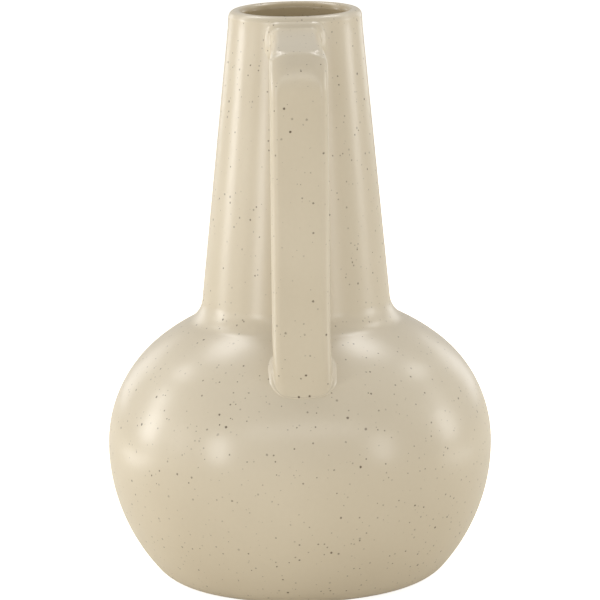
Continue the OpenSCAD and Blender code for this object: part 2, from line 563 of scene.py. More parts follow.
@dataclass
class NodeBench:
    """Adds and joins nodes in one node tree, laid out from left to right."""

    tree: bpy.types.NodeTree
    column: int = 0

    def add(self, kind: str, **settings: object) -> bpy.types.Node:
        """Adds a node.

        Args:
            kind: Blender's name for the node type.
            settings: attributes to set on it.

        Returns:
            The node.
        """
        node = self.tree.nodes.new(kind)
        node.location = (self.column * 190, 0)
        self.column += 1
        for key, value in settings.items():
            setattr(node, key, value)
        return node

    def link(self, source: bpy.types.NodeSocket, target: bpy.types.NodeSocket) -> None:
        """Joins an output to an input."""
        self.tree.links.new(source, target)

    def feed(self, target: bpy.types.NodeSocket, value: object) -> None:
        """Joins an output to the input, or sets the input's own value."""
        if isinstance(value, bpy.types.NodeSocket):
            self.link(value, target)
        else:
            target.default_value = value

    def math(
        self, operation: str, a: object, b: object = 0.0, c: object = 0.0, clamp: bool = False
    ) -> bpy.types.NodeSocket:
        """Adds a math node.

        Args:
            operation: Blender's name for the sum.
            a: first socket or number.
            b: second socket or number.
            c: third socket or number.
            clamp: True to keep the result from 0 to 1.

        Returns:
            The result's socket.
        """
        node = self.add("ShaderNodeMath", operation=operation, use_clamp=clamp)
        self.feed(node.inputs[0], a)
        self.feed(node.inputs[1], b)
        self.feed(node.inputs[2], c)
        return node.outputs[0]

    def ramp(
        self, value: object, low: object, high: object, to_low: float, to_high: float
    ) -> bpy.types.NodeSocket:
        """Adds a smooth map from one range to another.

        Args:
            value: the socket that varies.
            low: start of its range.
            high: end of its range.
            to_low: result at the start.
            to_high: result at the end.

        Returns:
            The result's socket.
        """
        node = self.add("ShaderNodeMapRange", interpolation_type="SMOOTHSTEP")
        for socket, given in zip(node.inputs[:5], (value, low, high, to_low, to_high)):
            self.feed(socket, given)
        return node.outputs[0]

    def blend(self, factor: object, a: object, b: object) -> bpy.types.NodeSocket:
        """Adds a colour mix.

        Args:
            factor: share of the second colour.
            a: first colour or socket.
            b: second colour or socket.

        Returns:
            The mixed colour's socket.
        """
        node = self.add("ShaderNodeMix", data_type="RGBA")
        self.feed(node.inputs["Factor"], factor)
        self.feed(node.inputs[6], a)
        self.feed(node.inputs[7], b)
        return node.outputs[2]

    def noise(
        self, vector: object, scale: object, detail: float, roughness: float = 0.5
    ) -> bpy.types.Node:
        """Adds a noise texture.

        Args:
            vector: where it is read.
            scale: cells for each metre.
            detail: octaves.
            roughness: strength of the finer octaves.

        Returns:
            The noise node.
        """
        node = self.add("ShaderNodeTexNoise")
        self.feed(node.inputs["Vector"], vector)
        self.feed(node.inputs["Scale"], scale)
        node.inputs["Detail"].default_value = detail
        node.inputs["Roughness"].default_value = roughness
        return node


@dataclass(frozen=True)
class EffectGroup:
    """A shader node group that several finishes share."""

    name: str
    inputs: tuple[tuple[str, Socket, object], ...]
    outputs: tuple[tuple[str, Socket], ...]

    def open(self) -> tuple[bpy.types.NodeTree, NodeBench, bpy.types.Node, bpy.types.Node]:
        """Makes the empty group with its sockets.

        Returns:
            The group, a bench on it, and its input and output nodes.
        """
        tree = bpy.data.node_groups.new(self.name, "ShaderNodeTree")
        for label, kind, default in self.inputs:
            socket = tree.interface.new_socket(label, in_out="INPUT", socket_type=kind.value)
            if kind is not Socket.VECTOR:
                socket.default_value = default
        for label, kind in self.outputs:
            tree.interface.new_socket(label, in_out="OUTPUT", socket_type=kind.value)
        bench = NodeBench(tree)
        return tree, bench, bench.add("NodeGroupInput"), bench.add("NodeGroupOutput")


class Specks(EffectGroup):
    """Iron specks: small soft-edged dots of mixed size and depth, scattered at random."""

    def __init__(self) -> None:
        """Names the group's sockets."""
        super().__init__(
            "iron_specks",
            (
                ("Vector", Socket.VECTOR, None),
                ("Cells per metre", Socket.VALUE, 200.0),
                ("Share of cells", Socket.VALUE, 0.3),
                ("Radius in cells", Socket.VALUE, 0.12),
                ("Ragged edge", Socket.VALUE, 0.0004),
            ),
            (("Mask", Socket.VALUE),),
        )

    def build(self) -> bpy.types.NodeTree:
        """Makes the group and returns it."""
        tree, bench, given, result = self.open()
        ragged = bench.noise(given.outputs["Vector"], 1900.0, 2.0)
        centred = bench.add("ShaderNodeVectorMath", operation="SUBTRACT")
        bench.link(ragged.outputs["Color"], centred.inputs[0])
        centred.inputs[1].default_value = (0.5, 0.5, 0.5)
        pushed = bench.add("ShaderNodeVectorMath", operation="SCALE")
        bench.link(centred.outputs[0], pushed.inputs[0])
        bench.link(given.outputs["Ragged edge"], pushed.inputs["Scale"])
        place = bench.add("ShaderNodeVectorMath", operation="ADD")
        bench.link(given.outputs["Vector"], place.inputs[0])
        bench.link(pushed.outputs[0], place.inputs[1])
        cells = bench.add("ShaderNodeTexVoronoi", voronoi_dimensions="3D", feature="F1")
        bench.link(place.outputs[0], cells.inputs["Vector"])
        bench.link(given.outputs["Cells per metre"], cells.inputs["Scale"])
        dice = bench.add("ShaderNodeSeparateColor")
        bench.link(cells.outputs["Color"], dice.inputs[0])
        chosen = bench.math("LESS_THAN", dice.outputs[0], given.outputs["Share of cells"])
        size = bench.ramp(dice.outputs[1], 0.0, 1.0, 0.45, 1.0)
        radius = bench.math("MULTIPLY", size, given.outputs["Radius in cells"])
        core = bench.math("MULTIPLY", radius, 0.45)
        dot = bench.ramp(cells.outputs["Distance"], core, radius, 1.0, 0.0)
        depth = bench.ramp(dice.outputs[2], 0.0, 1.0, 0.35, 1.0)
        mask = bench.math("MULTIPLY", bench.math("MULTIPLY", dot, chosen), depth, clamp=True)
        bench.link(mask, result.inputs["Mask"])
        return tree


class Cloud(EffectGroup):
    """Soft drifts over the surface, used for colour and for gloss."""

    def __init__(self) -> None:
        """Names the group's sockets."""
        super().__init__(
            "glaze_cloud",
            (
                ("Vector", Socket.VECTOR, None),
                ("Drifts per metre", Socket.VALUE, 14.0),
                ("Grain per metre", Socket.VALUE, 420.0),
                ("Grain share", Socket.VALUE, 0.3),
            ),
            (("Drift", Socket.VALUE), ("Sheen", Socket.VALUE)),
        )

    def build(self) -> bpy.types.NodeTree:
        """Makes the group and returns it."""
        tree, bench, given, result = self.open()
        wide = bench.noise(given.outputs["Vector"], given.outputs["Drifts per metre"], 2.0)
        fine = bench.noise(given.outputs["Vector"], given.outputs["Grain per metre"], 3.0, 0.6)
        drift = bench.ramp(wide.outputs[0], 0.3, 0.7, 0.0, 1.0)
        shade = bench.math("SUBTRACT", bench.ramp(fine.outputs[0], 0.3, 0.7, 0.0, 1.0), 0.5)
        grain = bench.math("MULTIPLY", shade, given.outputs["Grain share"])
        bench.link(bench.math("ADD", drift, grain, clamp=True), result.inputs["Drift"])
        bench.link(drift, result.inputs["Sheen"])
        return tree


class Skin(EffectGroup):
    """Height of the surface: slow unevenness of the wall, orange peel and the specks' pits."""

    def __init__(self) -> None:
        """Names the group's sockets."""
        super().__init__(
            "fired_skin",
            (
                ("Vector", Socket.VECTOR, None),
                ("Waves per metre", Socket.VALUE, 24.0),
                ("Peel per metre", Socket.VALUE, 520.0),
                ("Peel share", Socket.VALUE, 0.12),
                ("Pits", Socket.VALUE, 0.0),
                ("Pit depth", Socket.VALUE, 0.1),
            ),
            (("Height", Socket.VALUE),),
        )

    def build(self) -> bpy.types.NodeTree:
        """Makes the group and returns it."""
        tree, bench, given, result = self.open()
        waves = bench.noise(given.outputs["Vector"], given.outputs["Waves per metre"], 1.0)
        peel = bench.noise(given.outputs["Vector"], given.outputs["Peel per metre"], 2.0)
        raised = bench.math("MULTIPLY", peel.outputs[0], given.outputs["Peel share"])
        pits = bench.math("MULTIPLY", given.outputs["Pits"], given.outputs["Pit depth"])
        whole = bench.math("SUBTRACT", bench.math("ADD", waves.outputs[0], raised), pits)
        bench.link(whole, result.inputs["Height"])
        return tree


@dataclass(frozen=True)
class SpeckLayer:
    """One size class of specks."""

    cells: float
    share: float
    radius: float
    ragged: float
    strength: float


@dataclass
class EffectShelf:
    """The shared node groups, each built once."""

    specks: bpy.types.NodeTree = field(default_factory=lambda: Specks().build())
    cloud: bpy.types.NodeTree = field(default_factory=lambda: Cloud().build())
    skin: bpy.types.NodeTree = field(default_factory=lambda: Skin().build())


@dataclass(frozen=True)
class FiredFinish:
    """What glazed and bare clay have in common: cloudy colour, specks, gloss and a fired skin; the
    glaze also has a painted shade inside the neck.
    """

    slot: str
    light: Colour
    deep: Colour
    iron: Colour
    layers: tuple[SpeckLayer, ...]
    drifts: float
    grain: float
    grain_share: float
    rough_low: float
    rough_high: float
    speck_rough: float
    waves: float
    peel: float
    peel_share: float
    pit_depth: float
    bump_mm: float
    specular: float
    # Painted shade: a darker colour blended onto the inner wall of the neck, standing in for the shade
    # down the mouth.
    painted_inner_shade: Colour | None = None
    inner_shade_from: float = 27.2
    inner_shade_to: float = 30.2
    inner_shade_above: float = 150.0

    def inner_shade_mask(
        self, bench: NodeBench, place: bpy.types.NodeSocket, mouth_shift: float
    ) -> bpy.types.NodeSocket:
        """Where painted shade darkens the inside of the neck, fading out over the lip.

        Args:
            bench: the material's bench.
            place: position on the vase.
            mouth_shift: sideways shift of the mouth, in millimetres.

        Returns:
            The mask's socket.
        """
        centred = bench.add("ShaderNodeVectorMath", operation="SUBTRACT")
        bench.link(place, centred.inputs[0])
        centred.inputs[1].default_value = (mouth_shift * MM, 0.0, 0.0)
        flat = bench.add("ShaderNodeVectorMath", operation="MULTIPLY")
        bench.link(centred.outputs[0], flat.inputs[0])
        flat.inputs[1].default_value = (1.0, 1.0, 0.0)
        reach = bench.add("ShaderNodeVectorMath", operation="LENGTH")
        bench.link(flat.outputs[0], reach.inputs[0])
        parts = bench.add("ShaderNodeSeparateXYZ")
        bench.link(place, parts.inputs[0])
        edge = (self.inner_shade_from * MM, self.inner_shade_to * MM)
        inside = bench.ramp(reach.outputs["Value"], *edge, 1.0, 0.0)
        above = bench.math("GREATER_THAN", parts.outputs[2], self.inner_shade_above * MM)
        return bench.math("MULTIPLY", inside, above)

    @staticmethod
    def place_group(bench: NodeBench, tree: bpy.types.NodeTree, **values: object) -> bpy.types.Node:
        """Places a shared group in the material.

        Args:
            bench: the material's bench.
            tree: the group.
            values: its inputs, with spaces written as underscores.

        Returns:
            The group's node.
        """
        node = bench.add("ShaderNodeGroup", node_tree=tree)
        for key, value in values.items():
            bench.feed(node.inputs[key.replace("_", " ")], value)
        return node

    def material(self, shelf: EffectShelf, mouth_shift: float) -> bpy.types.Material:
        """Makes the finish.

        Args:
            shelf: the shared node groups.
            mouth_shift: sideways shift of the mouth, in millimetres.

        Returns:
            The material.
        """
        material = bpy.data.materials.new(self.slot)
        material.use_nodes = True
        material.node_tree.nodes.clear()
        bench = NodeBench(material.node_tree)
        place = bench.add("ShaderNodeTexCoord").outputs["Object"]
        cloud = self.place_group(
            bench, shelf.cloud, Vector=place, Drifts_per_metre=self.drifts,
            Grain_per_metre=self.grain, Grain_share=self.grain_share,
        )
        colour = bench.blend(cloud.outputs["Drift"], self.light, self.deep)
        # Painted shade: the inner wall of the neck is darkened where shade falls down the mouth.
        if self.painted_inner_shade is not None:
            colour = bench.blend(self.inner_shade_mask(bench, place, mouth_shift), colour, self.painted_inner_shade)
        every_speck: object = 0.0
        for layer in self.layers:
            specks = self.place_group(
                bench, shelf.specks, Vector=place, Cells_per_metre=layer.cells,
                Share_of_cells=layer.share, Radius_in_cells=layer.radius, Ragged_edge=layer.ragged,
            )
            mask = bench.math("MULTIPLY", specks.outputs["Mask"], layer.strength)
            every_speck = bench.math("MAXIMUM", mask, every_speck)
        colour = bench.blend(every_speck, colour, self.iron)
        gloss = bench.ramp(cloud.outputs["Sheen"], 0.0, 1.0, self.rough_low, self.rough_high)
        dulled = bench.math("MULTIPLY", every_speck, self.speck_rough)
        gloss = bench.math("ADD", gloss, dulled, clamp=True)
        skin = self.place_group(
            bench, shelf.skin, Vector=place, Waves_per_metre=self.waves, Peel_per_metre=self.peel,
            Peel_share=self.peel_share, Pits=every_speck, Pit_depth=self.pit_depth,
        )
        bump = bench.add("ShaderNodeBump")
        bump.inputs["Distance"].default_value = self.bump_mm * MM
        bench.link(skin.outputs["Height"], bump.inputs["Height"])
        shader = bench.add("ShaderNodeBsdfPrincipled")
        shader.inputs["Specular IOR Level"].default_value = self.specular
        bench.link(colour, shader.inputs["Base Color"])
        bench.link(gloss, shader.inputs["Roughness"])
        bench.link(bump.outputs[0], shader.inputs["Normal"])
        output = bench.add("ShaderNodeOutputMaterial")
        bench.link(shader.outputs[0], output.inputs["Surface"])
        return material


SPECKLED_GLAZE = FiredFinish(
    slot="speckled_glaze",
    light=(0.642, 0.569, 0.440, 1.0),
    deep=(0.612, 0.538, 0.410, 1.0),
    iron=(0.10, 0.065, 0.035, 1.0),
    layers=(
        SpeckLayer(cells=300.0, share=0.85, radius=0.20, ragged=0.0004, strength=0.8),
        SpeckLayer(cells=200.0, share=0.55, radius=0.18, ragged=0.0006, strength=1.0),
        SpeckLayer(cells=95.0, share=0.40, radius=0.09, ragged=0.0008, strength=1.0),
    ),
    drifts=13.0,
    grain=420.0,
    grain_share=0.25,
    rough_low=0.275,
    rough_high=0.275,
    speck_rough=0.1,
    waves=22.0,
    peel=420.0,
    peel_share=0.003,
    pit_depth=0.006,
    bump_mm=0.3,
    specular=0.5,
    # Painted shade for the inside of the neck.
    painted_inner_shade=(0.45, 0.36, 0.22, 1.0),
)

BARE_STONEWARE = FiredFinish(
    slot="bare_stoneware",
    light=(0.30, 0.195, 0.115, 1.0),
    deep=(0.22, 0.135, 0.075, 1.0),
    iron=(0.06, 0.035, 0.02, 1.0),
    layers=(
        SpeckLayer(cells=420.0, share=0.45, radius=0.22, ragged=0.0004, strength=0.7),
        SpeckLayer(cells=190.0, share=0.30, radius=0.16, ragged=0.0006, strength=0.9),
    ),
    drifts=60.0,
    grain=1100.0,
    grain_share=0.6,
    rough_low=0.72,
    rough_high=0.9,
    speck_rough=0.05,
    waves=60.0,
    peel=1400.0,
    peel_share=0.5,
    pit_depth=0.2,
    bump_mm=0.25,
    specular=0.3,
)


# ---------------------------------------------------------------------------------------------
# Sub-assemblies
# ---------------------------------------------------------------------------------------------


@dataclass
class SubAssembly:
    """Pieces that belong together, with the finish of each."""

    sizes: VaseSizes
    lean: Lean
    lathe: Lathe = field(default_factory=Lathe)
    pieces: dict[str, bpy.types.Object] = field(default_factory=dict)

    def keep(self, sculpt: Sculpt, name: str, node: str) -> None:
        """Makes a piece, sets it on the body and lets it stand for a piece of the frame.

        Args:
            sculpt: its surface.
            name: its name.
            node: the frame's piece that it replaces.
        """
        piece = sculpt.to_object(name, self.lean)
        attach(piece, BODY)
        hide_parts(node)
        self.pieces[name] = piece

    def coat(self, name: str, finish: FiredFinish, material: bpy.types.Material) -> None:
        """Gives a piece its finish.

        Args:
            name: name of the piece.
            finish: the finish that the material was made from; not used.
            material: the material made from it.
        """
        piece = self.pieces[name]
        piece.data.materials.clear()
        piece.data.materials.append(material)

    def dress(self, glaze: bpy.types.Material, _clay: bpy.types.Material) -> None:
        """Glazes every piece; a sub-assembly with bare clay has its own version."""
        for name in self.pieces:
            self.coat(name, SPECKLED_GLAZE, glaze)

    def report(self) -> None:
        """Logs each piece and its number of faces."""
        for name, piece in self.pieces.items():
            LOG.info("%s: %d faces", name, len(piece.data.polygons))


@dataclass
class Foot(SubAssembly):
    """The bare ring that the vase stands on, and the disc that closes the bottom."""

    ring_soft: float = 0.35
    step: float = 15.0

    def ring_profile(self) -> Profile:
        """Section of the ring: a low outer lip, softened edges and the key in the bowl's groove."""
        s, soft = self.sizes, self.ring_soft
        out = Profile().start(s.foot_in_r + soft, 0.0)
        out.line(s.foot_r - soft, 0.0, 4)
        out.arc((s.foot_r - soft, soft), soft, -90.0, 0.0, self.step)
        out.line(s.foot_r, s.under_z).line(s.key_r, s.under_z, 3).line(s.key_r, s.key_z)
        out.line(s.foot_in_r, s.key_z, 2).line(s.foot_in_r, soft, 2)
        out.arc((s.foot_in_r + soft, soft), soft, 180.0, 270.0, self.step)
        return out.close()

    def floor_profile(self) -> Profile:
        """Section of the stepped disc, from its lower pole to its upper pole."""
        s = self.sizes
        out = Profile().start(0.0, s.foot_hollow).line(s.plug_r, s.foot_hollow, 6)
        out.line(s.plug_r, s.floor_step_z).line(s.floor_r, s.floor_step_z, 2)
        out.line(s.floor_r, s.floor_top_z).line(0.0, s.floor_top_z, 6)
        return out

    def build(self) -> None:
        """Turns both pieces."""
        self.keep(self.lathe.turn(self.ring_profile()), "foot_ring_turned", "foot_ring")
        self.keep(self.lathe.turn_disc(self.floor_profile()), "base_floor_disc", "base_floor")

    def dress(self, glaze: bpy.types.Material, clay: bpy.types.Material) -> None:
        """Leaves the ring bare and glazes the disc."""
        self.coat("foot_ring_turned", BARE_STONEWARE, clay)
        self.coat("base_floor_disc", SPECKLED_GLAZE, glaze)


@dataclass
class Belly(SubAssembly):
    """The round body: a thrown bowl with the domed shoulder lapped over its rim."""

    step: float = 1.8

    def bowl_profile(self) -> Profile:
        """Section of the bowl, from the foot's groove up the outside and down the inside."""
        s = self.sizes
        wall, low = s.wall, s.under_z
        out = Profile().start(s.key_r, low).line(s.foot_c[0], low, 3)
        out.arc(s.foot_c, s.foot_turn_r, -90.0, -s.bowl_arc_deg, self.step * 2)
        out.arc(s.bowl_c, s.bowl_arc_r, -s.bowl_arc_deg, 0.0, self.step)
        out.line(s.lap_r, s.belly_z).line(s.lap_r, s.belly_z + s.lap)
        out.line(*s.on_arc(s.dome_c, s.dome_arc_r - wall, s.lap_deg))
        out.arc(s.dome_c, s.dome_arc_r - wall, s.lap_deg, 0.0, self.step)
        out.arc(s.bowl_c, s.bowl_arc_r - wall, 0.0, -s.bowl_arc_deg, self.step)
        out.arc(s.foot_c, s.foot_turn_r - wall, -s.bowl_arc_deg, -90.0, self.step * 2)
        out.line(s.floor_r, low + wall, 3).line(s.floor_r, s.floor_step_z)
        out.line(s.plug_r, s.floor_step_z, 2).line(s.plug_r, s.foot_hollow)
        out.line(s.foot_in_r, s.foot_hollow, 2).line(s.foot_in_r, s.key_z)
        out.line(s.key_r, s.key_z, 2)
        return out.close()

    def dome_profile(self) -> Profile:
        """Section of the dome, from the widest line up to the neck's seat and back inside."""
        s = self.sizes
        out = Profile().start(s.belly_r, s.belly_z)
        out.arc(s.dome_c, s.dome_arc_r, 0.0, s.dome_arc_deg, self.step)
        out.arc(s.shoulder_c, s.shoulder_arc_r, s.dome_arc_deg, s.shoulder_deg, self.step / 2)
        edge = out.points[-1]
        out.line(edge[0], edge[1] - s.seam_depth).line(*s.seat_corner)
        out.line(s.plug_r, s.seat_corner[1])
        inner = s.shoulder_arc_r - s.wall
        top_deg = math.degrees(math.acos((s.plug_r - s.shoulder_c[0]) / inner))
        out.line(*s.on_arc(s.shoulder_c, inner, top_deg))
        out.arc(s.shoulder_c, inner, top_deg, s.dome_arc_deg, self.step)
        out.arc(s.dome_c, s.dome_arc_r - s.wall, s.dome_arc_deg, s.lap_deg, self.step)
        out.line(s.lap_r, s.belly_z + s.lap).line(s.lap_r, s.belly_z)
        return out.close()

    def build(self) -> None:
        """Turns both halves."""
        self.keep(self.lathe.turn(self.bowl_profile()), "lower_bowl_thrown", "lower_bowl")
        self.keep(self.lathe.turn(self.dome_profile()), "shoulder_dome_thrown", "shoulder_dome")


@dataclass
class Neck(SubAssembly):
    """The tapering neck with its rolled lip, and the clay smoothed in round its foot."""

    rows: int = 30
    lip_step: float = 9.0
    coil_step: float = 4.0
    flare_rows: int = 4

    def coil_ends(self) -> tuple[Pair, Pair]:
        """Where the hollow curve meets the shoulder and the neck."""
        s = self.sizes
        low, high = (s.on_arc(s.coil_c, s.coil_r, at) for at in (s.coil_low_deg, s.coil_high_deg))
        return low, high

    def neck_profile(self) -> Profile:
        """Section of the neck: up the outside, over the lip and down the inside."""
        s = self.sizes
        _, high = self.coil_ends()
        mouth_z = s.height - s.lip_in_r - s.mouth_len
        out = Profile().start(s.neck_r(s.seat_z) - s.seam_depth, s.seat_z)
        out.line(high[0] - s.seam_depth, high[1] - s.seam_depth).line(*high)
        out.line(s.neck_r(s.lip_z), s.lip_z, self.rows)
        flare = (s.lip_r, s.height - s.lip_out_r)
        out.line(*flare, self.flare_rows)
        out.arc((s.lip_r - s.lip_out_r, flare[1]), s.lip_out_r, 0.0, 90.0, self.lip_step)
        crest_in = (s.mouth_r + s.lip_in_r, s.height - s.lip_in_r)
        if s.lip_r - s.lip_out_r - crest_in[0] > 1e-6:
            out.line(crest_in[0], s.height)
        out.arc(crest_in, s.lip_in_r, 90.0, 180.0, self.lip_step)
        out.line(s.mouth_r, mouth_z, 4)
        out.line(s.neck_r(s.seat_z) - s.wall / s.neck_out[0], s.seat_z, self.rows)
        self.soften(out)
        return out.close()

    def soften(self, out: Profile) -> None:
        """Bends the normals of the flare so that the cone rolls into the lip without a crease."""
        s = self.sizes
        cone, lip = s.neck_out, (1.0, 0.0)
        level = (i for i, (r, z) in enumerate(out.points) if abs(z - s.lip_z) < 1e-6 and r > s.mouth_r)
        first = next(level)
        for k in range(self.flare_rows):
            ends = []
            for share in (k / self.flare_rows, (k + 1) / self.flare_rows):
                mixed = unit(np.array(cone) * (1 - smooth(share)) + np.array(lip) * smooth(share))
                ends.append((float(mixed[0]), float(mixed[1])))
            out.normals[first + k] = (ends[0], ends[1])

    def coil_profile(self) -> Profile:
        """Section of the smoothed clay: its hollow face outside, dome and neck behind it."""
        s = self.sizes
        low, high = self.coil_ends()
        out = Profile().start(*low)
        out.arc(s.coil_c, s.coil_r, s.coil_low_deg, s.coil_high_deg, self.coil_step)
        out.line(high[0] - s.seam_depth, high[1] - s.seam_depth)
        out.line(s.neck_r(s.seat_z) - s.seam_depth, s.seat_z)
        out.line(*s.seat_corner)
        out.line(low[0], low[1] - s.seam_depth)
        return out.close()

    def build(self) -> None:
        """Turns the neck and the clay round its foot."""
        self.keep(self.lathe.turn(self.neck_profile()), "neck_cone_thrown", "neck_cone")
        self.keep(self.lathe.turn(self.coil_profile()), "neck_joint_smoothed", "neck_joint_coil")


@dataclass(frozen=True)
class Station:
    """One cross-cut of the strap, seen from the side: outward distance and height."""

    outer: np.ndarray
    inner: np.ndarray
    normal: np.ndarray
    half_width: float
    turn: float = 0.0
    foot: float = 0.0

    @property
    def thickness(self) -> float:
        """Thickness square to the outer face."""
        return float(np.dot(self.outer - self.inner, self.normal))


@dataclass
class Handle(SubAssembly):
    """The flat strap with its upper arm, and the clay smoothed round both of its roots."""

    thickness: float = 13.0
    bend_tight_r: float = 6.0
    bend_wide_r: float = 26.0
    bend_knee: float = 42.0
    bend_in_r: float = 8.0
    arm_slope: float = 9.0
    arm_z: float = 295.3
    arm_root: float = 35.0
    arm_half_width: float = 12.75
    narrow_to: float = 50.0
    wide_from: float = 84.0
    crown: float = 0.9
    bend_crown: float = 1.3
    foot_crown: float = 1.6
    foot_round: float = 16.0
    corner_w: float = 4.6
    bend_corner_w: float = 4.4
    corner_d: float = 6.0
    askew: float = 0.007
    askew_from: float = 150.0
    rear_corner: float = 4.0
    arm_rows: int = 34
    bend_rows: int = 30
    drop_rows: int = 60
    upper_radii: Triple = (5.0, 6.2, 5.0)
    lower_radii: Triple = (1.2, 3.0, 7.0)
    upper_beads: Triple = (1.1, 0.8, 0.4)
    lower_beads: Triple = (0.25, 0.7, 0.5)
    root_rows: int = 14
    upper_start: int = 6
    lower_start: int = 20
    sunk: float = 0.6
    neck_sunk: float = 2.5
    foot_sunk: Pair = (5.5, 4.5)
    bend_fade: float = 15.0
    bead_lean: float = 1.6

    def tilt(self) -> float:
        """Angle of the arm's upper normal from level, in radians."""
        return math.radians(90.0 - self.arm_slope)

    @staticmethod
    def facing(angle: float) -> np.ndarray:
        """Unit vector at an angle from level, in radians."""
        return np.array([math.cos(angle), math.sin(angle)])

    def arm_level(self) -> float:
        """Distance of the arm's upper face from the origin, along its normal."""
        return float(np.dot([self.arm_root, self.arm_z], self.facing(self.tilt())))

    def bend_point(self, angle: float) -> np.ndarray:
        """Point of the bend's outer curve, tight above and wide below.

        Args:
            angle: the normal's angle there, in radians.

        Returns:
            Outward distance and height.
        """
        tight, wide = self.bend_tight_r, self.bend_wide_r
        knee, up = self.facing(math.radians(self.bend_knee)), self.facing(self.tilt())
        tight_out = self.sizes.strap_reach - wide + (wide - tight) * knee[0]
        tight_up = (self.arm_level() - tight - tight_out * up[0]) / up[1]
        centre = np.array([tight_out, tight_up])
        if angle >= math.radians(self.bend_knee):
            return centre + tight * self.facing(angle)
        return centre - (wide - tight) * knee + wide * self.facing(angle)

    def web_centre(self) -> np.ndarray:
        """Centre of the bend's inner curve."""
        up, depth = self.facing(self.tilt()), self.thickness + self.bend_in_r
        out = self.sizes.strap_reach - depth
        return np.array([out, (self.arm_level() - depth - out * up[0]) / up[1]])

    @staticmethod
    def roundness(share: float) -> float:
        """How rounded the strap's corners are: 1 in the upper half of the bend, 0 away from it."""
        return smooth((1.25 - share) / 0.4) * smooth((share + 0.05) / 0.5)

    def half_width_at(self, out: float) -> float:
        """Half the strap's width at a distance from the axis."""
        wide = self.sizes.strap_w / 2
        share = smooth((out - self.narrow_to) / (self.wide_from - self.narrow_to))
        return self.arm_half_width + (wide - self.arm_half_width) * share

    def stations(self) -> list[Station]:
        """Cross-cuts from inside the neck's wall, round the bend and down into the shoulder."""
        s = self.sizes
        web = self.web_centre()
        arm_up, front = self.facing(self.tilt()), self.facing(0.0)
        arm_dir = np.array([arm_up[1], -arm_up[0]])
        turn_in = (self.bend_point(self.tilt()), web + self.bend_in_r * arm_up)
        turn_out = (self.bend_point(0.0), web + self.bend_in_r * front)
        back = (turn_in[0][0] - (s.mouth_r + self.neck_sunk)) / arm_dir[0]
        root_outer = turn_in[0] - back * arm_dir
        root = (root_outer, root_outer - self.thickness * arm_up)
        foot = tuple(
            np.array([reach, self.shoulder_z(reach) - sunk])
            for reach, sunk in zip((s.strap_reach, s.strap_reach - self.thickness), self.foot_sunk)
        )
        cuts: list[Station] = []
        for i in range(self.arm_rows):
            t = i / self.arm_rows
            outer = root[0] + (turn_in[0] - root[0]) * t
            inner = root[1] + (turn_in[1] - root[1]) * t
            turn = self.roundness(1.0 + float(np.linalg.norm(turn_in[0] - outer)) / self.bend_fade)
            cuts.append(Station(outer, inner, arm_up, self.half_width_at(float(outer[0])), turn))
        for i in range(self.bend_rows):
            angle = self.tilt() * (1 - i / self.bend_rows)
            outer = self.bend_point(angle)
            inner = web + self.bend_in_r * self.facing(angle)
            turn, half = self.roundness(1.0 - i / self.bend_rows), self.half_width_at(float(outer[0]))
            cuts.append(Station(outer, inner, self.facing(angle), half, turn))
        for i in range(self.drop_rows + 1):
            t = i / self.drop_rows
            outer = turn_out[0] + (foot[0] - turn_out[0]) * t
            inner = turn_out[1] + (foot[1] - turn_out[1]) * t
            rise = float(outer[1] - self.shoulder_z(s.strap_reach))
            near = smooth(1.0 - rise / self.foot_round)
            cuts.append(Station(outer, inner, front, s.strap_w / 2, 0.0, near))
        return cuts

    def shoulder_z(self, r: float) -> float:
        """Height of the shoulder's outer face at a radius."""
        s = self.sizes
        reach = (r - s.dome_c[0]) / s.dome_arc_r
        if reach > math.cos(math.radians(s.dome_arc_deg)):
            return s.dome_c[1] + s.dome_arc_r * math.sqrt(1.0 - reach * reach)
        reach = (r - s.shoulder_c[0]) / s.shoulder_arc_r
        return s.shoulder_c[1] + s.shoulder_arc_r * math.sqrt(1.0 - reach * reach)

    def half_section(self, cut: Station) -> list[Pair]:
        """Right half of the strap's section, from the middle of its face to the middle of its back.

        Args:
            cut: the cross-cut, which is rounder in the bend and at the strap's foot.

        Returns:
            Points of distance from the middle and depth below the face.
        """
        half, thick = cut.half_width, cut.thickness
        corner = self.corner_w + self.bend_corner_w * cut.turn
        crown = self.crown + self.bend_crown * cut.turn + self.foot_crown * cut.foot
        edge = half - corner
        drop = crown * (edge / half) ** 2
        slope = 2 * crown * edge / half**2
        points = [(edge * i / 8, crown * (edge * i / 8 / half) ** 2) for i in range(9)]
        peak = (half, drop + slope * corner)
        side = drop + self.corner_d
        points += self.rounded((edge, drop), peak, (half, side), 11)
        side_end = thick - self.rear_corner
        points += [(half, side + (side_end - drop - self.corner_d) * i / 3) for i in (1, 2, 3)]
        back_edge = half - self.rear_corner
        points += self.rounded((half, side_end), (half, thick), (back_edge, thick), 8)
        points += [(back_edge * (1 - i / 5), thick) for i in range(1, 6)]
        return points

    @staticmethod
    def rounded(start: Pair, turn: Pair, end: Pair, count: int) -> list[Pair]:
        """A round corner between two straight runs.

        Args:
            start: where it begins.
            turn: where the two runs would meet.
            end: where it ends.
            count: how many points it has, without its start.

        Returns:
            The points.
        """
        weight = math.cos(math.radians(45.0))
        out = []
        for i in range(1, count + 1):
            t = i / count
            a, b, c = (1 - t) ** 2, 2 * weight * t * (1 - t), t * t
            x, y = ((a * start[d] + b * turn[d] + c * end[d]) / (a + b + c) for d in (0, 1))
            out.append((x, y))
        return out

    def grid(self, cuts: list[Station]) -> np.ndarray:
        """Points of the strap's surface.

        Args:
            cuts: the cross-cuts.

        Returns:
            Array of cross-cut, place round the section and x, y, z.
        """
        rows = []
        for cut in cuts:
            right = self.half_section(cut)
            whole = right + [(-x, d) for x, d in reversed(right[1:-1])]
            row = []
            for x, depth in whole:
                out, up = cut.outer + (cut.inner - cut.outer) * (depth / cut.thickness)
                row.append((x - self.askew * max(up - self.askew_from, 0.0), -out, up))
            rows.append(row)
        return np.array(rows)

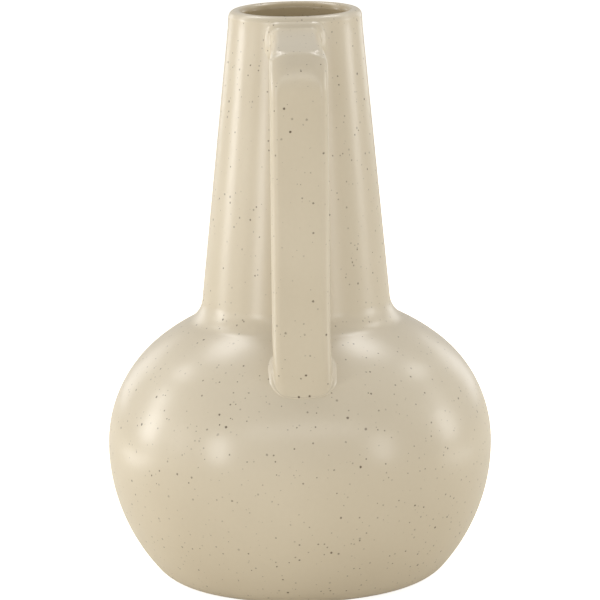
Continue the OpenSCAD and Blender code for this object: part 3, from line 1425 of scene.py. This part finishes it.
    @staticmethod
    def grid_normals(grid: np.ndarray) -> np.ndarray:
        """Outward normals of the strap's surface, from its neighbours both ways.

        Args:
            grid: points from grid().

        Returns:
            Array of the same shape.
        """
        around = np.roll(grid, -1, axis=1) - np.roll(grid, 1, axis=1)
        along = np.gradient(grid, axis=0)
        return unit(np.cross(along, around))

    def strap_sculpt(self, grid: np.ndarray, normals: np.ndarray) -> Sculpt:
        """Closes the strap's surface with an end in each wall.

        Args:
            grid: points of the surface.
            normals: their outward normals.

        Returns:
            The whole strap.
        """
        out = Sculpt()
        rows, count = grid.shape[:2]
        out.points = list(grid.reshape(-1, 3))
        for i in range(rows - 1):
            for k in range(count):
                n = (k + 1) % count
                cells = ((i, k), (i + 1, k), (i + 1, n), (i, n))
                corners = tuple(a * count + b for a, b in cells)
                out.add_face(corners, tuple(normals[a, b] for a, b in cells))
        for row, flip in ((0, False), (rows - 1, True)):
            middle = len(out.points)
            out.points.append(grid[row].mean(axis=0))
            for k in range(count):
                a, b = row * count + k, row * count + (k + 1) % count
                out.add_face((middle, b, a) if flip else (middle, a, b))
        return out

    def root_sculpt(
        self, grid: np.ndarray, normals: np.ndarray, radii: Triple, beads: Triple
    ) -> Sculpt:
        """Clay smoothed into the corner between strap and pot, with a soft bead round its edge.

        Args:
            grid: the strap's surface, from well outside the pot to inside its wall.
            normals: its outward normals.
            radii: radius of the corner on the strap's face, sides and back.
            beads: height of the bead there.

        Returns:
            A closed ring of clay.
        """
        outer_face = OuterFace(self.sizes)
        count = grid.shape[1]
        facing = unit(grid[0, 0] - grid[0, count // 2])
        inward = np.cross(grid[1, 0] - grid[0, 0], grid[0, 1] - grid[0, -1])
        backward = float(np.dot(inward, normals[0, 0])) < 0.0
        out = Sculpt()
        shares = np.linspace(0.0, 1.0, self.root_rows + 1)
        bulge = np.sin(math.pi * shares**self.bead_lean)
        lines: list[list[np.ndarray]] = []
        balls: list[list[np.ndarray]] = []
        for k in range(count):
            turn = float(np.dot(normals[0, k], facing))
            ball, bead = self.by_side(radii, turn), self.by_side(beads, turn)
            place, outward, centre, near = self.roll_in(grid[:, k], normals[:, k], ball, outer_face)
            cosine = float(np.clip(np.dot(outward, near.outward), -1.0, 1.0))
            sideways = unit(outward * cosine - near.outward)
            spread = shares * math.acos(cosine)
            arc = [-outward * math.cos(a) + sideways * math.sin(a) for a in spread]
            line = [centre + ball * ray + bead * lift * near.outward for ray, lift in zip(arc, bulge)]
            wall_end = line[-1] - self.sunk * near.outward
            middle = line[-1] - (line[-1] - place) * 0.5
            deep = middle - self.sunk * 1.5 * (near.outward + outward)
            out.points.extend(line + [wall_end, deep, place - self.sunk * outward])
            lines.append(line)
            balls.append([-ray for ray in arc])
        ring_normals = self.bead_normals(np.array(lines), np.array(balls), shares)
        rows = self.root_rows + 4
        for k in range(count):
            n = (k + 1) % count
            for i in range(rows):
                j = (i + 1) % rows
                cells = [(k, i), (k, j), (n, j), (n, i)]
                if backward:
                    cells.reverse()
                corners = tuple(a * rows + b for a, b in cells)
                if i < self.root_rows:
                    out.add_face(corners, tuple(ring_normals[a, b] for a, b in cells))
                else:
                    out.add_face(corners)
        return out

    @staticmethod
    def by_side(values: Triple, turn: float) -> float:
        """The value for the strap's face, side or back, mixed where the surface turns."""
        face, side, back = values
        to_face, to_back = max(turn, 0.0) ** 1.5, max(-turn, 0.0) ** 1.5
        return side + (face - side) * to_face + (back - side) * to_back

    @staticmethod
    def bead_normals(lines: np.ndarray, balls: np.ndarray, shares: np.ndarray) -> np.ndarray:
        """Normals of a root: the ball's own beside the strap, the beaded surface's further out.

        Args:
            lines: points by place round the strap and along the root.
            balls: normals that the ball alone would leave there.
            shares: how far along the root each point is, from 0 to 1.

        Returns:
            Unit normals of the same shape.
        """
        along = np.gradient(lines, axis=1)
        around = np.roll(lines, -1, axis=0) - np.roll(lines, 1, axis=0)
        measured = unit(np.cross(along, around))
        if float(np.sum(measured * balls)) < 0.0:
            measured = -measured
        outer = np.clip(shares / 0.25, 0.0, 1.0)[None, :, None]
        return unit(balls * (1.0 - outer) + measured * outer)

    @staticmethod
    def roll_in(
        line: np.ndarray, normals: np.ndarray, ball: float, face: OuterFace
    ) -> tuple[np.ndarray, np.ndarray, np.ndarray, Nearest]:
        """Rolls a ball down one line of the strap until it touches the pot.

        Args:
            line: points of the line, from outside the pot inward.
            normals: their outward normals.
            ball: radius of the ball.
            face: the pot's outer face.

        Returns:
            The touching point on the strap, its normal, the ball's centre and the pot's nearest place.
        """
        centres = line + ball * normals
        i = next(i for i in range(1, len(line)) if face.nearest(centres[i]).distance < ball)
        low, high = 0.0, 1.0
        for _ in range(HALVINGS):
            mid = (low + high) / 2
            trial = centres[i - 1] + (centres[i] - centres[i - 1]) * mid
            low, high = (low, mid) if face.nearest(trial).distance < ball else (mid, high)
        place = line[i - 1] + (line[i] - line[i - 1]) * high
        centre = centres[i - 1] + (centres[i] - centres[i - 1]) * high
        return place, unit(centre - place), centre, face.nearest(centre)

    def build(self) -> None:
        """Shapes the strap and both roots."""
        cuts = self.stations()
        grid = self.grid(cuts)
        normals = self.grid_normals(grid)
        self.keep(self.strap_sculpt(grid, normals), "handle_strap_pulled", "handle_strap")
        upper = slice(self.arm_rows - self.upper_start, None, -1)
        lower = slice(self.arm_rows + self.bend_rows + self.lower_start, None)
        for side, radii, beads, name, node in (
            (upper, self.upper_radii, self.upper_beads, "handle_upper_root", "handle_upper_joint"),
            (lower, self.lower_radii, self.lower_beads, "handle_lower_root", "handle_lower_joint"),
        ):
            self.keep(self.root_sculpt(grid[side], normals[side], radii, beads), name, node)


# ---------------------------------------------------------------------------------------------
# Studio
# ---------------------------------------------------------------------------------------------


@dataclass(frozen=True)
class SoftBox:
    """One rectangular studio light, aimed at the vase."""

    name: str
    azimuth: float
    elevation: float
    width: float
    height: float
    brightness: float
    distance: float = 1.5

    def direction(self) -> Vector:
        """Unit vector from the vase to the light."""
        return toward(self.azimuth, self.elevation)

    def place(self, target: Vector) -> Matrix:
        """Where the light stands, and which way it faces."""
        away = self.direction()
        return Matrix.Translation(target + away * self.distance) @ faced(away)

    def build(self, target: Vector) -> bpy.types.Object:
        """Makes the light.

        Args:
            target: the point that it faces.

        Returns:
            The light object.
        """
        data = bpy.data.lights.new(self.name, "AREA")
        data.shape = "RECTANGLE"
        data.size, data.size_y = self.width, self.height
        data.energy = math.pi * self.width * self.height * self.brightness
        light = bpy.data.objects.new(self.name, data)
        light.visible_camera = False
        light.matrix_world = self.place(target)
        bpy.context.scene.collection.objects.link(light)
        return light


@dataclass(frozen=True)
class GlowCard(SoftBox):
    """A light that lies on the floor beside the vase and faces up."""

    lift: float = 0.002

    def place(self, target: Vector) -> Matrix:
        """Where the card lies, turned so that its height runs away from the vase."""
        centre = self.direction() * self.distance
        centre.z = self.lift
        turn = Matrix.Rotation(math.pi - math.radians(self.azimuth), 4, "Z")
        return Matrix.Translation(centre) @ turn @ Matrix.Rotation(math.pi, 4, "X")


@dataclass(frozen=True)
class Studio:
    """The plain pale floor, the soft light and the camera."""

    floor_half: float = 6.0
    floor_cells: int = 12
    floor_colour: Colour = (0.72, 0.67, 0.56, 1.0)
    floor_lit: float = 0.12
    floor_seen: float = 0.85
    world_strength: float = 0.46
    world_seen: float = 1.05
    camera_distance: float = 2.6
    camera_pitch: float = 10.84
    camera_azimuth: float = -1.7
    camera_roll: float = -1.0
    camera_lens: float = 299.5
    sensor: float = 36.0
    aim_side: float = 0.0013
    aim_height: float = 0.1472
    boxes: tuple[SoftBox, ...] = (
        SoftBox("left_strip", -104.0, 8.0, 0.34, 0.48, 7.3),
        SoftBox("left_strip_top", -109.0, 23.0, 0.30, 0.30, 5.3),
        SoftBox("right_strip", 98.0, 8.0, 0.34, 0.48, 4.9),
        SoftBox("right_strip_top", 104.0, 23.0, 0.30, 0.30, 1.4),
        SoftBox("left_front", -50.0, 8.0, 0.25, 0.52, 9.2),
        SoftBox("right_front", 47.5, 8.0, 0.25, 0.50, 5.6),
        SoftBox("left_fill", -78.0, 9.0, 0.40, 0.5, 1.5),
        SoftBox("back_left_strip", -148.0, 9.0, 0.45, 0.62, 1.3),
        SoftBox("back_right_strip", 146.0, 9.0, 0.45, 0.62, 1.3),
        SoftBox("back_left_top", -143.0, 55.0, 0.50, 0.38, 6.2),
        SoftBox("back_right_top", 140.0, 57.0, 0.50, 0.38, 6.6),
        SoftBox("left_top", -119.0, 39.0, 0.32, 0.26, 5.1),
        SoftBox("right_top", 116.0, 38.0, 0.32, 0.26, 4.4),
        SoftBox("front_band", 1.0, 30.0, 2.1, 0.26, 2.6),
        GlowCard("left_card", -99.0, 0.0, 0.22, 0.80, 3.0, 0.78),
        GlowCard("right_card", 94.0, 0.0, 0.22, 0.80, 1.6, 0.78),
    )

    def build_floor(self) -> None:
        """Lays the floor, which isn't part of the vase."""
        mesh = bpy.data.meshes.new("floor")
        step = 2 * self.floor_half / self.floor_cells
        side = self.floor_cells + 1
        points = [
            (-self.floor_half + step * i, -self.floor_half + step * j, 0.0)
            for j in range(side) for i in range(side)
        ]
        faces = [
            (j * side + i, j * side + i + 1, (j + 1) * side + i + 1, (j + 1) * side + i)
            for j in range(self.floor_cells) for i in range(self.floor_cells)
        ]
        mesh.from_pydata(points, [], faces)
        material = bpy.data.materials.new("floor_paper")
        material.use_nodes = True
        shader = material.node_tree.nodes["Principled BSDF"]
        shader.inputs["Base Color"].default_value = self.floor_colour
        shader.inputs["Roughness"].default_value = 0.9
        shader.inputs["Specular IOR Level"].default_value = 0.1
        shader.inputs["Emission Color"].default_value = grey(1.0)
        glow = shader.inputs["Emission Strength"]
        self.show_bright(material.node_tree, glow, self.floor_lit, self.floor_seen)
        mesh.materials.append(material)
        floor = bpy.data.objects.new("floor", mesh)
        bpy.context.scene.collection.objects.link(floor)

    @staticmethod
    def show_bright(
        tree: bpy.types.NodeTree, strength: bpy.types.NodeSocket, lit: float, seen: float
    ) -> None:
        """Keeps paper and room white to look at, while they light the vase less.

        Args:
            tree: the node tree.
            strength: the strength to set.
            lit: strength for light that reaches the vase.
            seen: strength for what is looked at directly.
        """
        bench = NodeBench(tree)
        path = bench.add("ShaderNodeLightPath")
        bench.link(bench.math("MULTIPLY_ADD", path.outputs["Is Camera Ray"], seen - lit, lit), strength)

    def build_light(self) -> None:
        """Lights the scene with a pale room and soft boxes."""
        world = bpy.data.worlds.new("room")
        world.use_nodes = True
        backdrop = world.node_tree.nodes["Background"]
        backdrop.inputs["Color"].default_value = grey(1.0)
        strength = backdrop.inputs["Strength"]
        self.show_bright(world.node_tree, strength, self.world_strength, self.world_seen)
        bpy.context.scene.world = world
        target = Vector((0.0, 0.0, self.aim_height))
        for box in self.boxes:
            box.build(target)
        bpy.context.scene.view_settings.view_transform = "Standard"

    def build_camera(self) -> None:
        """Sets the camera at the viewing angle, a long way off with a long lens."""
        data = bpy.data.cameras.new("camera")
        data.lens, data.sensor_width = self.camera_lens, self.sensor
        data.clip_start, data.clip_end = 0.1, 50.0
        camera = bpy.data.objects.new("camera", data)
        away = toward(self.camera_azimuth, self.camera_pitch)
        around = math.radians(self.camera_azimuth)
        side = Vector((math.cos(around), math.sin(around), 0.0))
        target = side * self.aim_side + Vector((0.0, 0.0, self.aim_height))
        place = Matrix.Translation(target + away * self.camera_distance)
        roll = Matrix.Rotation(math.radians(self.camera_roll), 4, "Z")
        camera.matrix_world = place @ faced(away) @ roll
        bpy.context.scene.collection.objects.link(camera)
        bpy.context.scene.camera = camera

    def build(self) -> None:
        """Sets up floor, light and camera."""
        self.build_floor()
        self.build_light()
        self.build_camera()


def main() -> None:
    """Builds the vase, dresses it and sets up the studio."""
    logging.basicConfig(level=logging.INFO, format="%(name)s: %(message)s")
    sizes, lean = VaseSizes.from_frame(), Lean()
    shelf = EffectShelf()
    mouth_shift = float(lean.shift(np.array([sizes.height]))[0])
    glaze = SPECKLED_GLAZE.material(shelf, mouth_shift)
    clay = BARE_STONEWARE.material(shelf, mouth_shift)
    for kind in (Foot, Belly, Neck, Handle):
        part = kind(sizes, lean)
        part.build()
        part.dress(glaze, clay)
        part.report()
    Studio().build()


if __name__ == "__main__":
    main()
